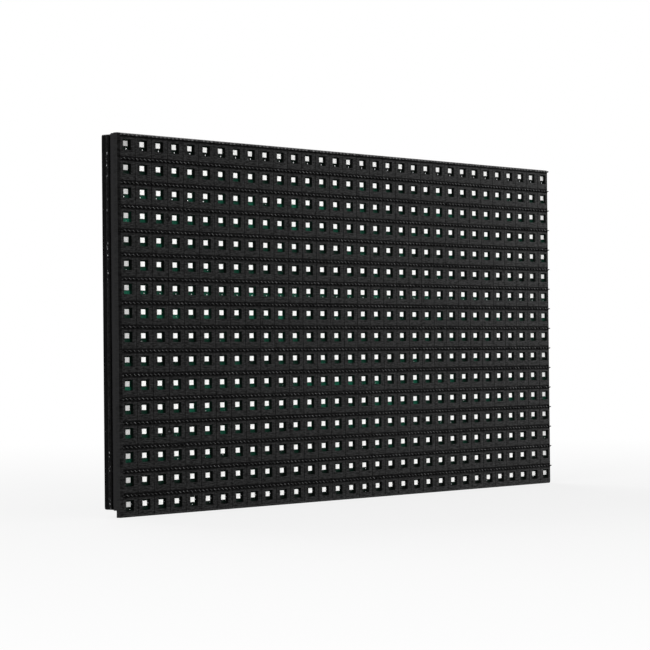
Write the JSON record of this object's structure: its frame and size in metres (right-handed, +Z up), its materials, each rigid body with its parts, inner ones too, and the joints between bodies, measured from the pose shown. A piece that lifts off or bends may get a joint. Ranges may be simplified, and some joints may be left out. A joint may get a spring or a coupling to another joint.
{
  "type": "led display module",
  "caption": "Flat rectangular LED matrix tile: louvred black mask with square lamp windows over a green board, in a ribbed rear frame with threaded inserts.",
  "frame": {"origin": "centre of the rear insert pattern, on the mounting plane that meets the cabinet", "axes": "+X to the right of someone facing the lamps, +Y to the rear, away from the lit face, +Z up"},
  "size_m": [0.3198, 0.015, 0.1598],
  "materials": {
    "mask_plastic": "fine-ribbed matt black moulding",
    "frame_plastic": "smooth black moulding",
    "solder_mask": "green solder mask on glass laminate",
    "insert_brass": "turned brass",
    "black_screw": "blackened steel",
    "header_plastic": "black moulded header",
    "white_nylon": "off-white nylon",
    "gold_pin": "gold-flashed contact",
    "tin": "tinned copper alloy",
    "chip_resin": "black moulding compound",
    "capacitor_can": "drawn aluminium can",
    "capacitor_base": "black base",
    "capacitor_ceramic": "fired ceramic",
    "resistor_glaze": "black glaze",
    "lamp_body": "white moulded lamp body"
  },
  "bodies": {
    "root": {"front_mask": "mask_plastic", "circuit_board": "solder_mask", "threaded_inserts": "insert_brass", "frame_sides": "frame_plastic", "frame_rails": "frame_plastic", "frame_crossbars": "frame_plastic", "frame_uprights": "frame_plastic", "frame_bosses": "frame_plastic", "mask_screws": "black_screw", "input_header": "header_plastic", "output_header": "header_plastic", "input_header_pins": "gold_pin", "output_header_pins": "gold_pin", "power_header": "white_nylon", "power_header_pins": "tin", "shift_registers": "chip_resin", "line_buffers": "chip_resin", "row_decoder": "chip_resin", "row_switches": "chip_resin", "shift_register_leads": "tin", "line_buffer_leads": "tin", "row_decoder_leads": "tin", "row_switch_leads": "tin", "bulk_capacitors": "capacitor_can", "bulk_capacitor_bases": "capacitor_base", "bypass_capacitors": "capacitor_ceramic", "column_resistors": "resistor_glaze", "lamp_row_01": "lamp_body", "lamp_row_02": "lamp_body", "lamp_row_03": "lamp_body", "lamp_row_04": "lamp_body", "lamp_row_05": "lamp_body", "lamp_row_06": "lamp_body", "lamp_row_07": "lamp_body", "lamp_row_08": "lamp_body", "lamp_row_09": "lamp_body", "lamp_row_10": "lamp_body", "lamp_row_11": "lamp_body", "lamp_row_12": "lamp_body", "lamp_row_13": "lamp_body", "lamp_row_14": "lamp_body", "lamp_row_15": "lamp_body", "lamp_row_16": "lamp_body"}
  },
  "joints": []
}
